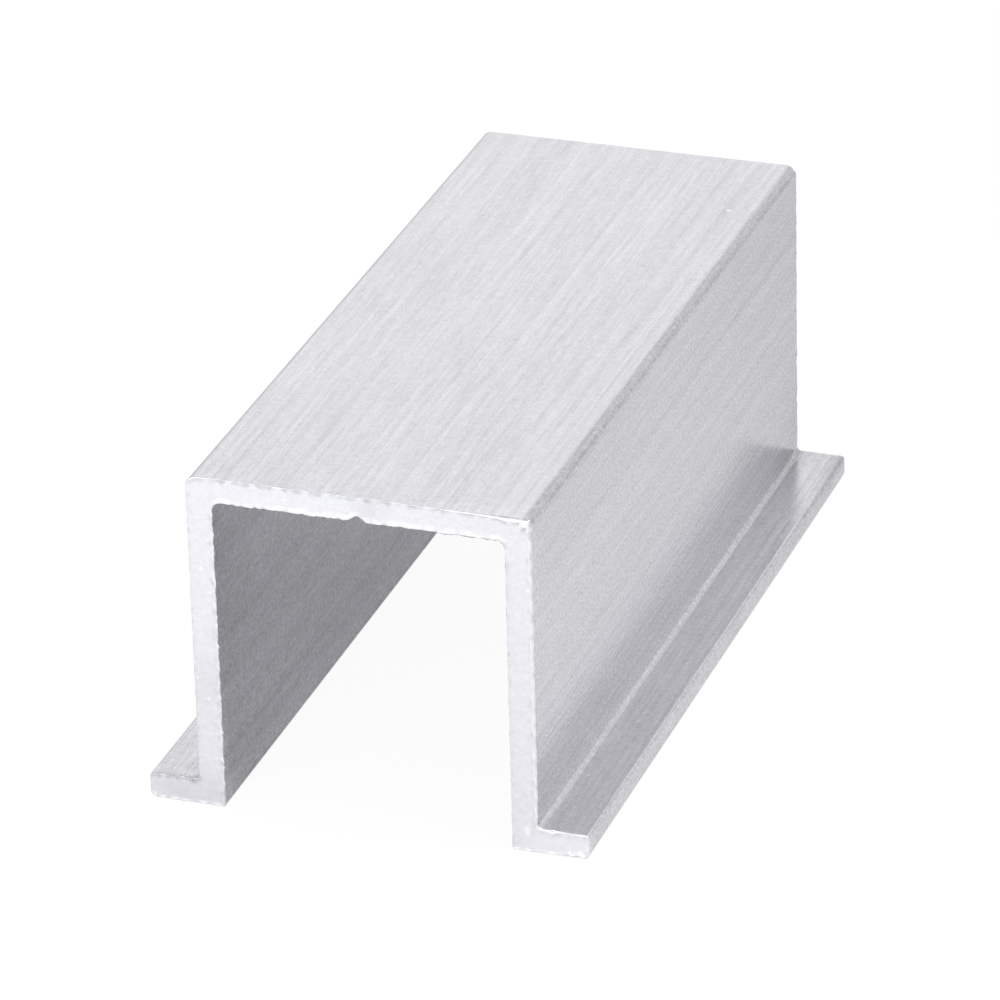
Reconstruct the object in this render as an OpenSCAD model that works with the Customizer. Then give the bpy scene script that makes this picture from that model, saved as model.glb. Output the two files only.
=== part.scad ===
// Aluminium hat-section extrusion, a short sawn length.
// Two legs hang from a flat web, and each leg ends in a narrow lip that
// stands outwards. The section lies in X and Z and is extruded along Y.
// The origin is at the middle of the footprint, on the lips' underside.

/* [Section] */
// Width over the outer faces of the two legs
leg_span = 40; // [30:0.5:60]
// Height from the lips' underside to the top of the web
section_h = 41; // [25:0.5:60]
// Thickness of the web
web_t = 3; // [2.2:0.1:4]
// Thickness of each leg
leg_t = 3; // [2:0.1:4]
// Thickness of each lip
lip_t = 3; // [2:0.1:4]
// How far each lip stands out from the outer face of its leg
lip_out = 6; // [4:0.1:12]

/* [Corners] */
// Radius of the web's two outer corners
web_corner_r = 1.3; // [0.5:0.1:2]
// Radius of the channel's two inner corners
channel_corner_r = 1; // [0.3:0.1:2]
// Fillet between the outer face of a leg and the top of its lip
lip_root_r = 0.7; // [0.3:0.1:1.5]
// Radius of a lip's tip, at its top edge
tip_top_r = 0.4; // [0.2:0.1:0.9]
// Radius of a lip's tip, at its bottom edge
tip_bottom_r = 0.9; // [0.2:0.1:1]
// Radius of a leg's inner bottom edge
heel_r = 0.3; // [0.2:0.1:1]

/* [Drill line] */
// Width of the V groove in the web's underside
groove_w = 2.2; // [1.6:0.1:3]
// Depth of the V groove, down to its rounded root
groove_d = 0.65; // [0.4:0.05:1]
// Radius of the groove's root
groove_root_r = 0.4; // [0.1:0.05:0.45]

/* [Stock] */
// Length between the two sawn ends
stock_l = 100; // [50:1:600]

/* [Hidden] */
channel_w = leg_span - 2 * leg_t;
channel_h = section_h - web_t;
base_w = leg_span + 2 * lip_out;
// A cut that ends in air runs on by this much, so that no faces coincide.
past = 1;
arc_fn = 96;

// What is left of a square corner at the origin when its two sides, along +X
// and +Y, are blended by a radius. Added to a corner it is a fillet, and taken
// off one it is a round.
module corner_web(r) {
    difference() {
        square(r);
        translate([r, r]) circle(r, $fn = arc_fn);
    }
}

// Both halves of what is drawn on the +X side.
module both_sides() {
    children();
    mirror([1, 0]) children();
}

// The web, the legs and the lips as one square-cornered outline.
module envelope() {
    translate([-leg_span / 2, 0]) square([leg_span, section_h]);
    translate([-base_w / 2, 0]) square([base_w, lip_t]);
}

// The channel between the legs, open downwards, with round inner corners.
module channel() {
    difference() {
        translate([-channel_w / 2, -past]) square([channel_w, channel_h + past]);
        both_sides()
            translate([channel_w / 2, channel_h]) rotate(180) corner_web(channel_corner_r);
    }
}

// Drill line: a V groove whose flanks run tangent into a round root. Its mouth
// is centred on the origin, and it is cut upwards.
module drill_line() {
    // Tangent from the mouth's edge to the root circle.
    root_z = groove_d - groove_root_r;
    to_root = sqrt(pow(groove_w / 2, 2) + pow(root_z, 2));
    flank = atan2(root_z, groove_w / 2) + asin(groove_root_r / to_root);
    touch = [groove_root_r * sin(flank), root_z + groove_root_r * cos(flank)];
    polygon([
        [-groove_w / 2 - past / tan(flank), -past],
        [groove_w / 2 + past / tan(flank), -past],
        touch,
        [-touch[0], touch[1]],
    ]);
    translate([0, root_z]) circle(groove_root_r, $fn = arc_fn);
}

// The die's outline, with every corner at its own radius.
module section() {
    difference() {
        envelope();
        channel();
        translate([0, channel_h]) drill_line();
        both_sides() {
            translate([leg_span / 2, section_h]) rotate(180) corner_web(web_corner_r);
            translate([base_w / 2, lip_t]) rotate(180) corner_web(tip_top_r);
            translate([base_w / 2, 0]) rotate(90) corner_web(tip_bottom_r);
            translate([channel_w / 2, 0]) corner_web(heel_r);
        }
    }
    both_sides() translate([leg_span / 2, lip_t]) corner_web(lip_root_r);
}

// One extruded piece, sawn square at both ends.
module hat_profile() {
    color([0.84, 0.84, 0.86])
        rotate([90, 0, 0])
            linear_extrude(height = stock_l, center = true)
                section();
}

hat_profile();
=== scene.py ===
"""A short sawn length of aluminium hat-section extrusion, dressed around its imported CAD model.

One piece replaces the CAD node: the same section swept along Y, with die lines
drawn into its surface and the small breaks and burrs that a saw leaves round
both ends. Shapes are worked out in millimetres and turned into metres when the
mesh is made.
"""

import math

import bpy
import numpy as np
from mathutils import Matrix, Quaternion, Vector
from mathutils.geometry import delaunay_2d_cdt


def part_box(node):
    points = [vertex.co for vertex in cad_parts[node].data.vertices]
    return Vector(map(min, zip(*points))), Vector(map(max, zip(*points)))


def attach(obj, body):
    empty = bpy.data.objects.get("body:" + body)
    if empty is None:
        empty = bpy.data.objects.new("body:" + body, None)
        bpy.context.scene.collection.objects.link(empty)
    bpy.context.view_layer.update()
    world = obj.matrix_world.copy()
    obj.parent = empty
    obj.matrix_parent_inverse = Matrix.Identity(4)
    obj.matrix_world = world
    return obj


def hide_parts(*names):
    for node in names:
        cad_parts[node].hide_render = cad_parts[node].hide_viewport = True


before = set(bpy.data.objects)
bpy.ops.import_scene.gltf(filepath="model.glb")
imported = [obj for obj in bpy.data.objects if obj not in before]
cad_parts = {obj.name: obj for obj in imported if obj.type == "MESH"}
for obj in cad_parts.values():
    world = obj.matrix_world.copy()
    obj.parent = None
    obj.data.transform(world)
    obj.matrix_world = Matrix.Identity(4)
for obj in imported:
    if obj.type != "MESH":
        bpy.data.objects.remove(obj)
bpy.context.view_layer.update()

NODE = "hat_profile"
BODY = "root"
MM = 0.001
SEED = 11

# Section, in millimetres. Width, height and length come from the frame.
node_low, node_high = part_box(NODE)
BASE_W = (node_high.x - node_low.x) / MM
SECTION_H = (node_high.z - node_low.z) / MM
HALF_L = (node_high.y - node_low.y) / 2 / MM
WALL = 3.0
LIP_OUT = 6.0
LEG_SPAN = BASE_W - 2 * LIP_OUT
WEB_CORNER_R = 1.3
LIP_ROOT_R = 0.7
TIP_TOP_R = 0.4
TIP_BOTTOM_R = 0.9
HEEL_R = 0.3
CHANNEL_CORNER_R = 1.0
GROOVE_W = 2.2
GROOVE_D = 0.65
GROOVE_ROOT_R = 0.4
GROOVE_MOUTH_R = 0.1

# Mesh density, in millimetres.
OUTLINE_STEP = 0.18
ARC_STEP = 0.12
RING_STEP = 5.0
CAP_STEP = 0.42
# Points inside a sawn face, in steps: from row to row, how far each is shifted, and clear of the rim.
CAP_ROW_PITCH = 0.87
CAP_JITTER = 0.2
CAP_CLEARANCE = 0.6

# Smoothing along the outline, in millimetres either way, of the normals that points are set
# inwards along and of what changes from face to face.
NORMAL_SMOOTHING = 0.7
FACE_BLEND = 0.5
SMOOTHING_SAMPLES = 15

# Noise round the outline adds up this many sines. Each makes the wavelength's number of turns times
# a random factor between these two.
WAVES = 20
WAVE_SPREAD = (0.5, 1.7)

# Random die lines: depth of the deepest, and wavelength and weight of each set.
DIE_LINE_DEPTH = 0.006
DIE_LINE_SETS = ((3.0, 0.4), (0.9, 0.3))
# Single die lines: the face, how far before its end corner, half width and depth.
DIE_LINES = (
    ("web_top", 2.5, 0.16, 0.030),
    ("web_top", 3.3, 0.14, 0.014),
    ("web_top", 6.1, 0.16, 0.018),
    ("right_leg_out", 33.6, 0.18, 0.014),
    ("right_leg_out", 29.8, 0.16, 0.010),
)
# How far the faces wander from flat, and the waves that they do it in: how many, their length
# round the outline, their share, their limit and how much they turn towards each end.
FLATNESS = 0.008
SAG_WAVES = 3
SAG_LENGTH = 30.0
SAG_SHARE = 0.2
SAG_LIMIT = 2
SAG_TURN = 2.2

# The sawn faces lie this far inside the stock's length, and their burr stands
# out to it. Each edge of a sawn face is broken by a small uneven facet.
CAP_RECESS = 0.10
CAP_RELIEF = 0.004
FACET_DEPTH = 0.24
# Width of the facet, height of the burr beside it, how uneven both are and how freshly cut, by face.
EDGES = {
    "web_top": (0.022, 0.00, 1.0, 0.2),
    "right_leg_out": (0.27, 0.04, 0.30, 1.0),
    "right_lip_top": (0.045, 0.03, 0.9, 0.8),
    "right_tip": (0.04, 0.00, 0.8, 0.2),
    "right_foot": (0.07, 0.00, 0.8, 0.3),
    "right_leg_in": (0.05, 0.02, 0.8, 0.4),
    "right_ceiling": (0.17, 0.08, 0.9, 0.8),
    "right_flank": (0.12, 0.04, 0.8, 0.7),
    "left_flank": (0.12, 0.04, 0.8, 0.7),
    "left_ceiling": (0.18, 0.10, 0.9, 0.8),
    "left_leg_in": (0.15, 0.12, 1.0, 0.8),
    "left_foot": (0.06, 0.00, 0.8, 0.3),
    "left_tip": (0.07, 0.00, 0.8, 0.2),
    "left_lip_top": (0.012, 0.10, 1.0, 0.0),
    "left_leg_out": (0.03, 0.02, 0.8, 0.3),
}
# Wider breaks at the front end: the face, how far before its end corner, half width and added facet.
FRONT_BREAKS = (
    ("web_top", 38.5, 1.6, 0.05),
    ("web_top", 29.0, 0.6, 0.07),
    ("web_top", 6.0, 5.0, 0.09),
    ("web_top", 1.6, 2.4, 0.42),
    ("web_top", 0.1, 0.7, 0.22),
    ("right_leg_out", 0.5, 0.6, 0.12),
    ("right_lip_top", 4.2, 0.35, 0.40),
    ("right_lip_top", 1.2, 1.0, 0.06),
    ("right_tip", 0.6, 0.5, 0.22),
    ("right_foot", 7.4, 0.5, 0.34),
    ("right_foot", 6.3, 0.3, 0.40),
    ("left_lip_top", 0.4, 0.5, 0.06),
    ("left_leg_out", 0.3, 1.5, 0.14),
)
BREAK_UNEVENNESS = 0.15
# Noise of the facet: wavelength and share of the slow and the quick part, and its limits.
FACET_SLOW = (6.0, 0.42)
FACET_QUICK = (1.3, 0.30)
FACET_LIMITS = (0.12, 2.2)
# Noise of the burr: its middle, wavelength and share of each part, and its limits.
BURR_MIDDLE = 0.5
BURR_SLOW = (3.0, 0.5)
BURR_QUICK = (0.9, 0.4)
BURR_LIMITS = (0, 2.2)
# Ridge inside the facet, as a part of the recess, and how fresh the cut is: wavelength, middle,
# share of the noise and limits.
RIDGE = (2.0, 0.35, 0.3, 0, 0.95)
FRESHNESS = (2.5, 0.85, 0.35, 0.2, 1)
# The facet goes this share of its width deep, at most FACET_DEPTH, and this margin more.
FACET_SLOPE = 0.55
FACET_MARGIN = 0.02
# Rings before the facet: how far past it, and the shares of the burr, the fin and the freshness there.
EDGE_RISE = ((1.1, 0, 0, 0), (0.35, 0, 0.05, 0), (0.08, 0.5, 0.45, 0.3), (0, 1, 1, 1))
# On the facet: the shares of the burr, the fin, the facet's width and its depth.
ON_FACET = (0.45, 0.9, 0.30, 0.42)
# The sawn face starts this far inside the facet.
FACE_MARGIN = 0.07
# The plain part of the sweep keeps this far clear of the edges, and points within the tolerance
# of the back sawn face belong to it.
PLAIN_CLEARANCE = 1.0
FACE_TOLERANCE = 0.01
# How many strips of the sweep at each end look sawn.
SAWN_STRIPS = 2
# The saw pushed the front corner of the web out into a fin that fills its round.
FIN_FILL = 0.85
FIN_REACH = 1.0

# Places that darken the metal, as centre, reach and strength, on the front end and on the skin. On the skin
# they are painted shade, and negative ones are paler as painted light.
DARK_SPOTS_AND_SHADE_ON_END = (
    # On the front end: darker spots on the left foot's end and the left leg's end, at the root of the left
    # lip and on the web's end, and a thin line of painted shade along the left lip's top edge that also hides
    # the bright cut there.
    ((-22.5, -50.0, 0.8), (3.2, 1.0, 3.2), 0.20),
    ((-17.8, -50.0, 1.2), (2.4, 1.0, 2.4), 0.12),
    ((-20.7, -50.0, 2.9), (0.36, 1.0, 0.36), 0.80),
    ((-23.0, -50.0, 3.05), (2.6, 1.0, 0.16), 0.42),
    ((1.5, -50.0, 39.6), (1.6, 1.0, 1.6), 0.20),
    ((-18.6, -50.0, 15.0), (3.5, 1.0, 3.5), 0.10),
)
PAINTED_SHADING_ON_SKIN = (
    # On the skin, painted shade: the left leg's inner face near the front and by its foot, the front of the
    # left lip's top, the right leg's outer face towards its far end, at its foot there and along its top, the
    # far end of the right lip's top, the right front half of the web top and the rounded top of the left tip.
    ((-17.0, -52.0, 16.0), (1.5, 11.0, 20.0), 0.47),
    ((-17.0, -42.0, 2.0), (1.5, 12.0, 9.0), 0.38),
    ((20.5, 62.0, 14.0), (1.2, 34.0, 26.0), 0.26),
    ((20.5, 0.0, 36.5), (1.2, 200.0, 4.5), 0.12),
    ((13.5, -12.0, 41.0), (7.0, 50.0, 1.0), 0.11),
    ((20.5, 52.5, 5.5), (1.2, 10.0, 6.5), 0.30),
    ((27.0, 53.0, 3.0), (5.5, 15.0, 0.8), 0.70),
    ((-21.5, -46.0, 3.0), (2.4, 9.0, 0.8), 0.30),
    ((-26.2, 0.0, 3.1), (0.7, 200.0, 0.7), 0.30),
    # Thin darker lines along the web top by its die lines, and one paler line beside the first: die-line
    # tone, with painted shade and a painted highlight of the grooves.
    ((17.7, -14.0, 41.0), (0.17, 34.0, 1.0), 0.24),
    ((17.3, -14.0, 41.0), (0.17, 34.0, 1.0), -0.12),
    ((15.9, 22.0, 41.0), (0.20, 26.0, 1.0), 0.12),
    ((12.7, 42.0, 41.0), (0.24, 20.0, 1.0), 0.15),
    ((8.35, -24.0, 41.0), (0.26, 18.0, 1.0), 0.16),
    ((9.4, -46.0, 41.0), (0.22, 9.0, 1.0), 0.12),
)
# Painted shading by face: the legs' inner faces paler as painted light, and the right tip darker as painted
# shade.
PAINTED_SHADING_BY_FACE = {"right_leg_in": -0.36, "left_leg_in": -0.36, "right_tip": 0.20}
# How much a place of strength 1, painted shading and darker spots alike, darkens the metal and hides a bright
# cut.
SHADING_AND_SPOTS_DARKEN = 0.45
SHADING_AND_SPOTS_HIDE = 1.3
# Bright flecks: centre and half size.
FLECKS = (
    ((24.9, -50.0, 0.75), (0.45, 0.5, 0.55)),
    ((23.6, -50.0, 0.55), (0.28, 0.5, 0.45)),
    ((18.8, -50.0, 2.6), (0.55, 0.5, 0.8)),
    ((-20.5, -50.0, 22.0), (0.25, 0.5, 0.22)),
    ((-18.4, -50.0, 13.5), (0.30, 0.5, 0.26)),
    ((16.1, 35.0, 41.0), (0.45, 0.32, 0.5)),
    ((20.5, -36.2, 3.25), (0.22, 0.45, 0.3)),
    ((21.5, -36.6, 3.0), (0.18, 0.30, 0.3)),
    ((20.3, -40.5, 3.4), (0.18, 0.35, 0.3)),
)
# A fleck is full out to this share of its size.
FLECK_CORE = 0.4

# Colours, linear.
MILL = (0.745, 0.737, 0.776)
SAWN = (0.866, 0.869, 0.904)
FRESH = (0.985, 0.985, 1.0)
FLOOR = (0.80, 0.80, 0.805)

# Noises of the skin: 1 for round features and less for ones drawn out along Y, scale per millimetre,
# detail and roughness.
SKIN_NOISES = {
    "grain": (1.0, 4.2, 2.0, 0.65),
    "side_grain": (0.9, 2.8, 2.0, 0.65),
    "mottle": (0.7, 1.5, 2.0, 0.5),
    "fine": (0.05, 2.6, 3.0, 0.55),
    "middle": (0.012, 1.0, 2.0, 0.5),
    "lines": (0.0015, 1.6, 4.0, 0.65),
    "cloud": (0.4, 0.07, 1.0, 0.5),
    "broad": (0.0006, 0.45, 1.0, 0.5),
}
# How much each of them changes the skin's colour, roughness and height.
SKIN_TONES = {"grain": 0.54, "mottle": 0.20, "fine": 0.34, "middle": 0.15, "lines": 0.32, "cloud": 0.08}
SKIN_ROUGHNESSES = {"fine": 0.12, "lines": 0.08, "grain": 0.05}
SKIN_HEIGHTS = {"fine": 0.6, "lines": 0.45, "grain": 0.40}
# Weight of the broad streaks, and what is added to it on faces that stand sideways.
BROAD_WEIGHT = 0.10
BROAD_SIDEWAYS = 0.16
SKIN_ROUGHNESS = 0.21
SKIN_ANISOTROPY = 0.4
# Strength of the bump, and its distance in metres.
SKIN_BUMP = (0.4, 0.00005)

# The same for the sawn faces.
SAWN_NOISES = {
    "mottle": (1.0, 1.5, 3.0, 0.6),
    "grain": (1.0, 4.2, 2.0, 0.65),
    "specks": (1.0, 1.1, 1.0, 0.5),
}
SAWN_TONES = {"mottle": 0.18, "grain": 0.12}
SAWN_ROUGHNESSES = {"mottle": 0.15}
SAWN_HEIGHTS = {"mottle": 1.0, "grain": 0.6}
SAWN_ROUGHNESS = 0.58
SAWN_BUMP = (0.3, 0.00008)
# Levels of the noise at which a bright speck starts and is full, and how bright it gets.
SPECK_START = 0.70
SPECK_FULL = 0.76
SPECK_LEVEL = 0.8

# How much of the plain white background each kind of ray sees in place of the lit one.
CAMERA_SHARE = 0.86
GLOSSY_SHARE = 0.14
# Level of the surround, and the soft patches in it: azimuth, elevation, reach in degrees, added level.
# Azimuth 0 is in front and 90 on the right, here and for the lamps and the camera.
SURROUND_LEVEL = 0.728
PATCHES = {
    "window behind on the left": (-160, 26, 35, 0.546),
    "card in front": (0, 8, 55, 0.411),
    "card in front on the left": (-40, -4, 38, 0.793),
    "low card in front": (0, 0, 28, 0.259),
    "panel in front on the right": (30, 30, 50, 0.202),
    "panel behind on the right": (150, 45, 40, 0.261),
    "flag behind on the right": (150, 20, 45, -0.284),
    "glow under the flag": (150, 5, 35, 0.422),
}
# Lamps: the point that each faces, azimuth, elevation, distance and size in metres, and watts.
LAMPS = {
    "key": ((-0.005, -0.05, 0.02), -20, 9, 0.26, 0.12, 0.14),
    "fill": ((0, 0, 0), 75, 60, 0.22, 0.12, 0.144),
}
FLOOR_HALF = 4.0
FLOOR_WHITE = 1.08

# Camera, found by fitting the section's corners in a frame of 1000 x 1000.
CAMERA_AIM = (-0.0012, 0.0, 0.0169)
CAMERA_AZIMUTH = 19.63
CAMERA_ELEVATION = 26.22
CAMERA_ROLL = -1.52
CAMERA_DISTANCE = 0.7778
CAMERA_LENS = 240.1
CAMERA_SENSOR = 36.0
CAMERA_CLIP = (0.01, 20)


def section_corners():
    """Corners as (name of the face that leads to it, x, z, radius), clockwise seen from the front."""
    leg = LEG_SPAN / 2
    tip = BASE_W / 2
    inside = leg - WALL
    ceiling = SECTION_H - WALL
    mouth = GROOVE_W / 2
    root_z = GROOVE_D - GROOVE_ROOT_R
    flank = math.atan2(root_z, mouth) + math.asin(GROOVE_ROOT_R / math.hypot(mouth, root_z))
    apex = ceiling + mouth * math.tan(flank)
    right = [
        ("web_top", leg, SECTION_H, WEB_CORNER_R),
        ("right_leg_out", leg, WALL, LIP_ROOT_R),
        ("right_lip_top", tip, WALL, TIP_TOP_R),
        ("right_tip", tip, 0, TIP_BOTTOM_R),
        ("right_foot", inside, 0, HEEL_R),
        ("right_leg_in", inside, ceiling, CHANNEL_CORNER_R),
        ("right_ceiling", mouth, ceiling, GROOVE_MOUTH_R),
        ("right_flank", 0, apex, GROOVE_ROOT_R),
    ]
    left_names = ["left_flank", "left_ceiling", "left_leg_in", "left_foot", "left_tip",
                  "left_lip_top", "left_leg_out"]
    mirrored = [(-x, z, radius) for _, x, z, radius in reversed(right[:-1])]
    return right + [(name, *corner) for name, corner in zip(left_names, mirrored)]


def rounded_corner(before, corner, after, radius):
    """Points and outward normals of the arc at one corner of a clockwise outline."""
    to_before = (before - corner).normalized()
    to_after = (after - corner).normalized()
    half = to_before.angle(to_after) / 2
    centre = corner + (to_before + to_after).normalized() * (radius / math.sin(half))
    tangent = radius / math.tan(half)
    spoke = corner + to_before * tangent - centre
    convex = to_before.x * to_after.y - to_before.y * to_after.x > 0
    sweep = (math.pi - 2 * half) * (-1 if convex else 1)
    count = max(3, math.ceil(abs(sweep) * radius / ARC_STEP))
    points, normals = [], []
    for k in range(count + 1):
        turned = Matrix.Rotation(sweep * k / count, 2) @ spoke
        points.append(centre + turned)
        normals.append(turned.normalized() * (1 if convex else -1))
    return points, normals


class Outline:
    """The section's closed outline: points, outward normals, and each point's face and distance along."""

    def __init__(self):
        corners = section_corners()
        self.names = [corner[0] for corner in corners]
        places = [Vector(corner[1:3]) for corner in corners]
        count = len(corners)
        arcs = [rounded_corner(places[i - 1], places[i], places[(i + 1) % count], corners[i][3])
                for i in range(count)]
        points, normals, faces, corner_index = [], [], [], []
        for i, (arc, arc_normals) in enumerate(arcs):
            start = arcs[i - 1][0][-1]
            run = arc[0] - start
            steps = max(1, round(run.length / OUTLINE_STEP))
            for k in range(1, steps):
                points.append(start + run * (k / steps))
                normals.append(Vector((-run.y, run.x)).normalized())
                faces.append(i)
            middle = len(arc) // 2
            corner_index.append(len(points) + middle)
            points += arc
            normals += arc_normals
            faces += [i if k <= middle else (i + 1) % count for k in range(len(arc))]
        self.points = np.array(points)
        self.normals = np.array(normals)
        self.faces = np.array(faces)
        gaps = np.linalg.norm(np.roll(self.points, -1, axis=0) - self.points, axis=1)
        self.along = np.concatenate([[0], np.cumsum(gaps)[:-1]])
        self.length = gaps.sum()
        self.corner_along = {name: self.along[k] for name, k in zip(self.names, corner_index)}
        # Normals that turn slowly enough round the small corners to set points inwards along them.
        slow = np.column_stack([self.smoothed(self.normals[:, axis], NORMAL_SMOOTHING) for axis in (0, 1)])
        self.inward = slow / np.linalg.norm(slow, axis=1)[:, None]

    def smoothed(self, values, reach):
        """Values averaged over a distance either way along the outline."""
        offsets = np.linspace(-reach, reach, SMOOTHING_SAMPLES)
        return np.mean([np.interp(self.along + offset, self.along, values, period=self.length)
                        for offset in offsets], axis=0)

    def by_face(self, values):
        """One value per face, blended where faces meet."""
        return self.smoothed(np.array([values[self.names[face]] for face in self.faces]), FACE_BLEND)

    def moved(self, offset):
        """The outline with each point moved outwards by its offset, or inwards where that is negative."""
        out = self.normals * np.maximum(offset, 0)[:, None]
        return self.points + out + self.inward * np.minimum(offset, 0)[:, None]

    def wander(self, rng, wavelength):
        """Smooth noise of about -2 to 2 that closes on itself round the outline."""
        total = np.zeros(len(self.along))
        for _ in range(WAVES):
            turns = max(1, round(self.length / wavelength * rng.uniform(*WAVE_SPREAD)))
            total += np.sin(2 * np.pi * turns * self.along / self.length + rng.uniform(0, 2 * np.pi))
        return total / math.sqrt(WAVES / 2)

    def uneven(self, rng, wavelength, middle, share, low, high):
        """Noise about a middle, kept within limits."""
        return np.clip(middle + share * self.wander(rng, wavelength), low, high)

    def near(self, place, width):
        """A smooth bump of height 1 at a distance along the outline."""
        gap = (self.along - place + self.length / 2) % self.length - self.length / 2
        return np.exp(-(gap / width) ** 2)

    def before_corner(self, name, before, width):
        """A smooth bump on a face, at a distance before its end corner."""
        return self.near(self.corner_along[name] - before, width)


def sawn_edge(outline, rng, breaks, fin):
    """Rings (offset, depth, freshness) from the skin over a broken edge onto the sawn face.

    breaks are places where the facet is wider, and fin is how far the edge is pushed out.
    """
    facet, burr, unevenness, new = (
        outline.by_face({name: edge[k] for name, edge in EDGES.items()}) for k in range(4))
    slow = outline.wander(rng, FACET_SLOW[0])
    quick = outline.wander(rng, FACET_QUICK[0])
    facet = facet * np.clip(1 + unevenness * (FACET_SLOW[1] * slow + FACET_QUICK[1] * quick), *FACET_LIMITS)
    for name, before, width, added in breaks:
        place = outline.before_corner(name, before, width)
        facet = facet + added * place * (1 + BREAK_UNEVENNESS * quick)
        new = np.maximum(new, place)
    rough_burr = sum(share * outline.wander(rng, wavelength) for wavelength, share in (BURR_SLOW, BURR_QUICK))
    burr = burr * np.clip(BURR_MIDDLE + rough_burr, *BURR_LIMITS)
    ridge = CAP_RECESS * outline.uneven(rng, *RIDGE)
    reach = CAP_RECESS + np.minimum(FACET_SLOPE * facet, FACET_DEPTH) + FACET_MARGIN
    fresh = new * outline.uneven(rng, *FRESHNESS)
    rings = [(of_burr * burr + of_fin * fin, reach + past, of_fresh * fresh)
             for past, of_burr, of_fin, of_fresh in EDGE_RISE]
    of_burr, of_fin, of_facet, of_depth = ON_FACET
    on_facet = of_burr * burr + of_fin * fin - of_facet * facet
    none = np.zeros(len(facet))
    return rings + [
        (on_facet, CAP_RECESS + of_depth * (reach - CAP_RECESS), fresh),
        (-facet, CAP_RECESS - ridge, fresh),
        (-facet - FACE_MARGIN, none + CAP_RECESS, none),
    ]


def die_lines(outline, rng):
    """How far the die's lines move each point of the outline: a little inwards."""
    random_lines = sum(share * np.abs(outline.wander(rng, wavelength)) for wavelength, share in DIE_LINE_SETS)
    offset = -DIE_LINE_DEPTH * np.clip(random_lines, 0, 1)
    for name, before, width, depth in DIE_LINES:
        offset = offset - depth * outline.before_corner(name, before, width)
    return offset


def corner_fin(outline):
    """How far the fin stands out of the web's front corner."""
    to_square = WEB_CORNER_R * (1 / np.abs(outline.normals).max(axis=1) - 1)
    return FIN_FILL * to_square * outline.before_corner("web_top", 0, FIN_REACH)


def swept_rings(outline, rng):
    """Rings (points, y, freshness) from the front sawn face to the back one, and an edge's greatest depth."""
    die = die_lines(outline, rng)
    fin = corner_fin(outline)
    front = sawn_edge(outline, rng, FRONT_BREAKS, fin)
    back = sawn_edge(outline, rng, (), 0 * fin)
    deepest = max(depth.max() for _, depth, _ in front + back)
    sag = [np.clip(outline.wander(rng, SAG_LENGTH), -SAG_LIMIT, SAG_LIMIT) for _ in range(SAG_WAVES)]

    none = np.zeros(len(outline.points))
    plain_half = HALF_L - deepest - PLAIN_CLEARANCE
    plain = np.linspace(-plain_half, plain_half, round(2 * HALF_L / RING_STEP))
    rows = [(offset, depth - HALF_L, fresh) for offset, depth, fresh in reversed(front)]
    rows += [(none, none + y, none) for y in plain]
    rows += [(offset, HALF_L - depth, fresh) for offset, depth, fresh in back]

    rings = []
    for offset, y, fresh in rows:
        turned = np.mean(y) / HALF_L * SAG_TURN
        flat = sum(wave * math.sin((k + 1) * turned + k) for k, wave in enumerate(sag))
        skin = die - FLATNESS * np.clip(0.5 + SAG_SHARE * flat, 0, 1)
        rings.append((outline.moved(offset + skin), y, fresh))
    return rings, deepest


def inside_outline(points, outline):
    """Which of the points lie inside a closed outline, by counting crossings."""
    x, z = points[:, 0][:, None], points[:, 1][:, None]
    x0, z0 = outline[:, 0][None], outline[:, 1][None]
    x1, z1 = np.roll(outline, -1, axis=0).T
    crosses = (z0 > z) != (z1[None] > z)
    span = np.where(z1 == z0, 1e-9, z1 - z0)
    hit = x < x0 + (z - z0) * (x1 - x0) / span
    return (crosses & hit).sum(axis=1) % 2 == 1


def sawn_face(rim, rng):
    """Inner points and triangles of a sawn face; the triangles index the rim first, then the inner points."""
    low, high = rim.min(axis=0), rim.max(axis=0)
    columns = np.arange(low[0], high[0], CAP_STEP)
    rows = np.arange(low[1], high[1], CAP_STEP * CAP_ROW_PITCH)
    grid = np.array([(x + (0.5 * CAP_STEP if r % 2 else 0), z) for r, z in enumerate(rows) for x in columns])
    grid += rng.uniform(-CAP_JITTER, CAP_JITTER, grid.shape) * CAP_STEP
    grid = grid[inside_outline(grid, rim)]
    clearance = np.array([np.hypot(*(rim - point).T).min() for point in grid])
    inner = grid[clearance > CAP_CLEARANCE * CAP_STEP]
    places = [Vector(point) for point in np.vstack([rim, inner])]
    made = delaunay_2d_cdt(places, [], [list(range(len(rim)))], 1, 1e-6)
    origin = [found[0] for found in made[3]]
    return inner, [[origin[corner] for corner in face] for face in made[2]]


def darkening_by_places(points, places):
    """How much each point is darkened: the sum of soft ellipsoids given as (centre, reach, strength)."""
    total = np.zeros(len(points))
    for centre, reach, strength in places:
        away = (points - np.array(centre)) / np.array(reach)
        total += strength * np.exp(-(away ** 2).sum(axis=1))
    return total


def painted_shading_and_spot_values(verts, outline, ring_count, deepest):
    """Painted shading and darker spots of every point, by its own places on the front end, on the skin and on
    the back end.
    """
    by_face = outline.by_face({name: PAINTED_SHADING_BY_FACE.get(name, 0) for name in outline.names})
    on_skin = darkening_by_places(verts, PAINTED_SHADING_ON_SKIN)
    on_skin[:ring_count * len(by_face)] += np.tile(by_face, ring_count)
    y = verts[:, 1]
    at_front = y < deepest - HALF_L
    at_back = y > HALF_L - CAP_RECESS - FACE_TOLERANCE
    return np.select([at_front, at_back], [darkening_by_places(verts, DARK_SPOTS_AND_SHADE_ON_END), 0], on_skin)


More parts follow.
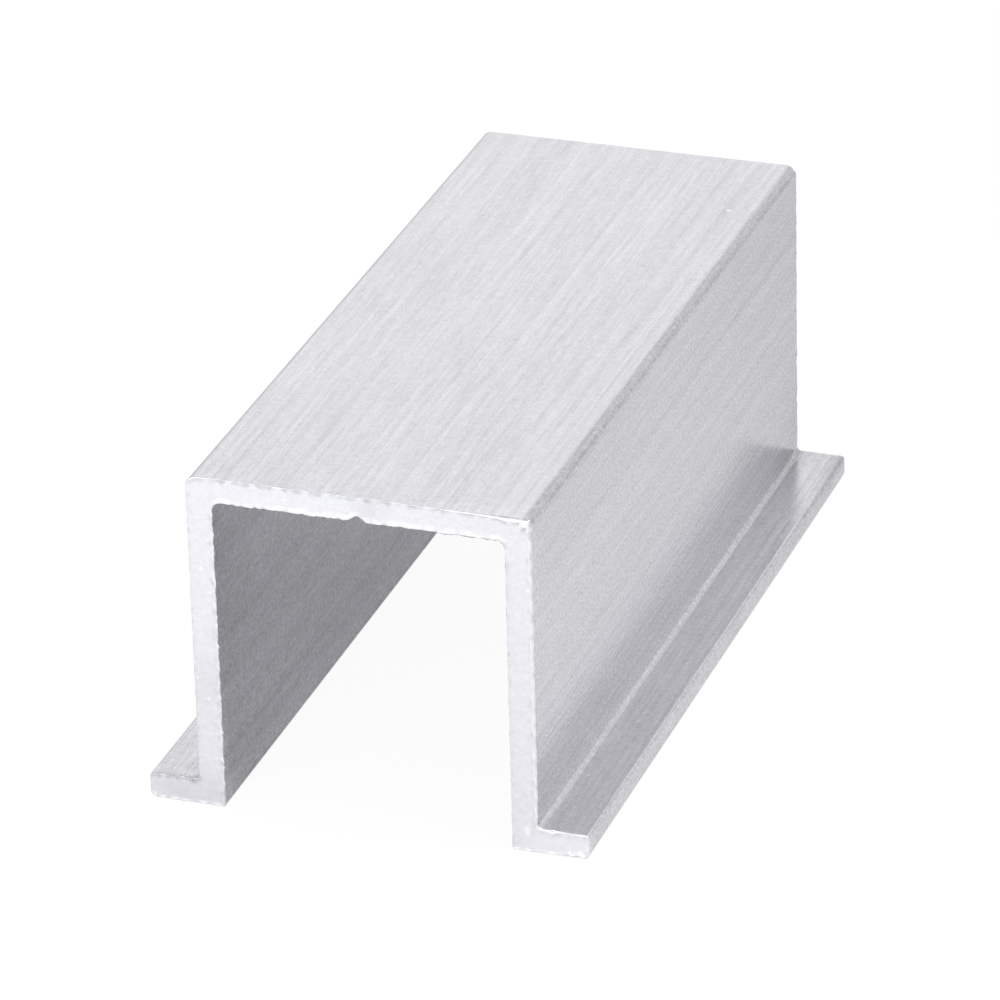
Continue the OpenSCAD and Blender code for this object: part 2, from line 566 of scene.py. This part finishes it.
def extrusion():
    """The whole piece as one closed mesh."""
    outline = Outline()
    rng = np.random.default_rng(SEED)
    rings, deepest = swept_rings(outline, rng)
    count = len(outline.points)
    strips = len(rings) - 1
    verts = np.vstack([np.column_stack([moved[:, 0], y, moved[:, 1]]) for moved, y, _ in rings])
    fresh = np.concatenate([value for _, _, value in rings])
    faces, sawn = [], []
    for r in range(strips):
        here, there = r * count, (r + 1) * count
        for i in range(count):
            j = (i + 1) % count
            faces.append((here + i, here + j, there + j, there + i))
            sawn.append(r < SAWN_STRIPS or r >= strips - SAWN_STRIPS)
    for ring_index, side in ((0, -1), (strips, 1)):
        inner, triangles = sawn_face(rings[ring_index][0], rng)
        depth = HALF_L - CAP_RECESS - CAP_RELIEF * rng.uniform(0, 1, len(inner))
        first = len(verts)
        verts = np.vstack([verts, np.column_stack([inner[:, 0], side * depth, inner[:, 1]])])
        fresh = np.concatenate([fresh, np.zeros(len(inner))])
        for triangle in triangles:
            named = [ring_index * count + k if k < count else first + k - count for k in triangle]
            faces.append(named if side < 0 else named[::-1])
            sawn.append(True)

    # Painted shading on the skin and darker spots on the front end, kept as a value of each point.
    painted_shading_and_spots = painted_shading_and_spot_values(verts, outline, len(rings), deepest)
    verts = np.clip(verts * MM, node_low, node_high)
    mesh = bpy.data.meshes.new("extrusion")
    mesh.from_pydata(verts.tolist(), [], faces)
    mesh.polygons.foreach_set("material_index", [int(cut) for cut in sawn])
    mesh.polygons.foreach_set("use_smooth", [True] * len(faces))
    for name, values in (("fresh", fresh), ("painted_shading_and_spots", painted_shading_and_spots)):
        mesh.attributes.new(name, "FLOAT", "POINT").data.foreach_set("value", values.astype(np.float32))
    mesh.update()
    piece = bpy.data.objects.new("extrusion", mesh)
    bpy.context.scene.collection.objects.link(piece)
    return piece


class Nodes:
    """A material's or world's node tree, emptied, with short ways to fill it."""

    def __init__(self, owner):
        owner.use_nodes = True
        self.tree = owner.node_tree
        self.tree.nodes.clear()

    def add(self, kind, inputs=None, **settings):
        """A node with its settings made and its sockets set or linked; returns it."""
        node = self.tree.nodes.new(kind)
        for name, value in settings.items():
            setattr(node, name, value)
        for name, value in (inputs or {}).items():
            if isinstance(value, bpy.types.NodeSocket):
                self.tree.links.new(value, node.inputs[name])
            else:
                node.inputs[name].default_value = value
        return node

    def math(self, operation, a, b=0.0, c=0.0):
        """One Math node's result."""
        node = self.add("ShaderNodeMath", {0: a, 1: b, 2: c}, operation=operation)
        return node.outputs[0]

    def map_range(self, value, low, high, to_low, to_high, interpolation="LINEAR"):
        """A value mapped from one range to another and kept within it."""
        node = self.add("ShaderNodeMapRange", {
            "Value": value, "From Min": low, "From Max": high, "To Min": to_low, "To Max": to_high,
        }, interpolation_type=interpolation)
        return node.outputs[0]

    def noise(self, stretch, scale, detail, roughness):
        """Noise in millimetres, with its features drawn out along Y by 1 / stretch."""
        place = self.add("ShaderNodeTexCoord").outputs["Object"]
        per_mm = 1 / MM
        mapped = self.add("ShaderNodeMapping", {"Vector": place, "Scale": (per_mm, per_mm * stretch, per_mm)})
        made = self.add("ShaderNodeTexNoise", {"Vector": mapped.outputs[0], "Scale": scale, "Detail": detail,
                                               "Roughness": roughness})
        return made.outputs["Fac"]

    def noises(self, table):
        """Every noise of a table, by name."""
        return {name: self.noise(*values) for name, values in table.items()}

    def attribute(self, name):
        """One of the mesh's values."""
        return self.add("ShaderNodeAttribute", attribute_name=name).outputs["Fac"]

    def spot(self, centre, half_size):
        """1 in the middle of an ellipsoid given in millimetres, falling to 0 at its surface."""
        place = self.add("ShaderNodeTexCoord").outputs["Object"]
        scale = tuple(1 / (half * MM) for half in half_size)
        shift = tuple(-middle / half for middle, half in zip(centre, half_size))
        offset = self.add("ShaderNodeVectorMath", {0: place, 1: scale, 2: shift}, operation="MULTIPLY_ADD")
        away = self.add("ShaderNodeVectorMath", {0: offset.outputs[0]}, operation="LENGTH").outputs["Value"]
        return self.map_range(away, 1.0, FLECK_CORE, 0.0, 1.0)

    def flecked(self, bright):
        """The brightness raised where the flecks are."""
        for centre, half_size in FLECKS:
            bright = self.math("MAXIMUM", bright, self.spot(centre, half_size))
        return bright

    def weighted(self, start, noises, weights):
        """start plus each weight times (its noise less a half)."""
        total = start
        for name, weight in weights.items():
            centred = self.math("SUBTRACT", noises[name], 0.5)
            total = self.math("MULTIPLY_ADD", centred, weight, total)
        return total

    def metal(self, colour, tone, bright, rough, height, bump, **more):
        """A metal of a colour scaled by a tone, or of the fresh cut's colour where it is bright."""
        scaled = self.add("ShaderNodeVectorMath", {0: colour, "Scale": tone}, operation="SCALE").outputs[0]
        mixed = self.add("ShaderNodeMix", {"Factor": bright, 6: scaled, 7: (*FRESH, 1)}, data_type="RGBA")
        strength, distance = bump
        bumped = self.add("ShaderNodeBump", {"Height": height, "Strength": strength, "Distance": distance})
        shader = self.add("ShaderNodeBsdfPrincipled", {
            "Base Color": mixed.outputs[2], "Metallic": 1.0, "Roughness": rough,
            "Normal": bumped.outputs[0], **more})
        self.add("ShaderNodeOutputMaterial", {"Surface": shader.outputs[0]})


def mill_material():
    """Skin as it leaves the die: pale metal with fine grain, and die lines and streaks along Y."""
    material = bpy.data.materials.new("mill_aluminium")
    n = Nodes(material)
    noises = n.noises(SKIN_NOISES)
    normal = n.add("ShaderNodeTexCoord").outputs["Normal"]
    sideways = n.math("ABSOLUTE", n.add("ShaderNodeSeparateXYZ", {0: normal}).outputs["X"])
    broad_weight = n.math("MULTIPLY_ADD", sideways, BROAD_SIDEWAYS, BROAD_WEIGHT)
    tone = n.weighted(1.0, noises, {**SKIN_TONES, "side_grain": sideways, "broad": broad_weight})
    # Painted shade darkens the skin's tone where the places say, and painted light pales it where they are
    # negative.
    tone = n.math("MULTIPLY_ADD", n.attribute("painted_shading_and_spots"), -SHADING_AND_SPOTS_DARKEN, tone)
    bright = n.flecked(n.attribute("fresh"))
    rough = n.weighted(SKIN_ROUGHNESS, noises, SKIN_ROUGHNESSES)
    height = n.weighted(0.0, noises, SKIN_HEIGHTS)
    tangent = n.add("ShaderNodeTangent", direction_type="RADIAL", axis="Y").outputs[0]
    n.metal(MILL, tone, bright, rough, height, SKIN_BUMP, Anisotropic=SKIN_ANISOTROPY, Tangent=tangent)
    return material


def sawn_material():
    """Sawn face: matte, paler than the skin, mottled and with a few bright specks."""
    material = bpy.data.materials.new("sawn_aluminium")
    n = Nodes(material)
    noises = n.noises(SAWN_NOISES)
    painted_shading_and_spots = n.attribute("painted_shading_and_spots")
    tone = n.weighted(1.0, noises, SAWN_TONES)
    # The painted shade and darker spots darken the sawn face's tone and hide its bright cut.
    tone = n.math("MULTIPLY_ADD", painted_shading_and_spots, -SHADING_AND_SPOTS_DARKEN, tone)
    specks = n.map_range(noises["specks"], SPECK_START, SPECK_FULL, 0.0, SPECK_LEVEL, "SMOOTHSTEP")
    bright = n.math("MAXIMUM", n.attribute("fresh"), specks)
    bright = n.flecked(n.math("SUBTRACT", bright, n.math("MULTIPLY", painted_shading_and_spots, SHADING_AND_SPOTS_HIDE)))
    rough = n.weighted(SAWN_ROUGHNESS, noises, SAWN_ROUGHNESSES)
    height = n.weighted(0.0, noises, SAWN_HEIGHTS)
    n.metal(SAWN, tone, bright, rough, height, SAWN_BUMP)
    return material


def seen_white(n, camera_share):
    """How white the background is to the ray that looks at it."""
    path = n.add("ShaderNodeLightPath")
    seen = n.math("MAXIMUM", path.outputs["Is Camera Ray"], path.outputs["Is Transmission Ray"])
    glossy = n.math("MULTIPLY", path.outputs["Is Glossy Ray"], GLOSSY_SHARE)
    return n.math("MULTIPLY_ADD", seen, camera_share, glossy)


def make_floor():
    """Pale floor that keeps the object's shadow."""
    half = FLOOR_HALF
    mesh = bpy.data.meshes.new("floor")
    corners = [(-half, -half, 0), (half, -half, 0), (half, half, 0), (-half, half, 0)]
    mesh.from_pydata(corners, [], [(0, 1, 2, 3)])
    floor = bpy.data.objects.new("floor", mesh)
    bpy.context.scene.collection.objects.link(floor)
    material = bpy.data.materials.new("floor")
    n = Nodes(material)
    lit = n.add("ShaderNodeBsdfDiffuse", {"Color": (*FLOOR, 1)})
    white = n.add("ShaderNodeEmission", {"Strength": FLOOR_WHITE})
    share = seen_white(n, CAMERA_SHARE)
    mixed = n.add("ShaderNodeMixShader", {0: share, 1: lit.outputs[0], 2: white.outputs[0]})
    n.add("ShaderNodeOutputMaterial", {"Surface": mixed.outputs[0]})
    mesh.materials.append(material)


def make_world():
    """Soft studio surround with brighter and darker patches, and plain white to the camera."""
    world = bpy.data.worlds.new("studio")
    bpy.context.scene.world = world
    n = Nodes(world)
    direction = n.add("ShaderNodeTexCoord").outputs["Generated"]
    level = SURROUND_LEVEL
    for azimuth, elevation, reach, added in PATCHES.values():
        towards = n.add("ShaderNodeVectorMath", {0: direction, 1: direction_from(azimuth, elevation)},
                        operation="DOT_PRODUCT").outputs["Value"]
        edge = math.cos(math.radians(reach))
        level = n.math("ADD", level, n.map_range(towards, edge, 1.0, 0.0, added, "SMOOTHSTEP"))
    soft = n.add("ShaderNodeBackground", {"Strength": level})
    white = n.add("ShaderNodeBackground", {"Strength": 1.0})
    mixed = n.add("ShaderNodeMixShader", {0: seen_white(n, 1.0), 1: soft.outputs[0], 2: white.outputs[0]})
    n.add("ShaderNodeOutputWorld", {"Surface": mixed.outputs[0]})


def make_light(name, aim, azimuth, elevation, distance, size, power):
    """Square softbox that faces a point."""
    light = bpy.data.lights.new(name, "AREA")
    light.shape = "SQUARE"
    light.size = size
    light.energy = power
    lamp = bpy.data.objects.new(name, light)
    bpy.context.scene.collection.objects.link(lamp)
    back = direction_from(azimuth, elevation)
    lamp.location = Vector(aim) + back * distance
    lamp.rotation_mode = "QUATERNION"
    lamp.rotation_quaternion = (-back).to_track_quat("-Z", "Y")


def direction_from(azimuth, elevation):
    """Unit vector from the object towards a viewer or lamp there."""
    a, e = math.radians(azimuth), math.radians(elevation)
    return Vector((math.sin(a) * math.cos(e), -math.cos(a) * math.cos(e), math.sin(e)))


def make_camera():
    """The photograph's view."""
    data = bpy.data.cameras.new("camera")
    data.sensor_width = CAMERA_SENSOR
    data.lens = CAMERA_LENS
    data.clip_start, data.clip_end = CAMERA_CLIP
    camera = bpy.data.objects.new("camera", data)
    bpy.context.scene.collection.objects.link(camera)
    back = direction_from(CAMERA_AZIMUTH, CAMERA_ELEVATION)
    camera.location = Vector(CAMERA_AIM) + back * CAMERA_DISTANCE
    camera.rotation_mode = "QUATERNION"
    level = (-back).to_track_quat("-Z", "Y")
    camera.rotation_quaternion = level @ Quaternion((0, 0, 1), math.radians(CAMERA_ROLL))
    bpy.context.scene.camera = camera


make_camera()
make_floor()
make_world()
for lamp_name, lamp_values in LAMPS.items():
    make_light(lamp_name, *lamp_values)

piece = extrusion()
piece.data.materials.append(mill_material())
piece.data.materials.append(sawn_material())
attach(piece, BODY)
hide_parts(NODE)

bpy.context.scene.view_settings.view_transform = "Standard"
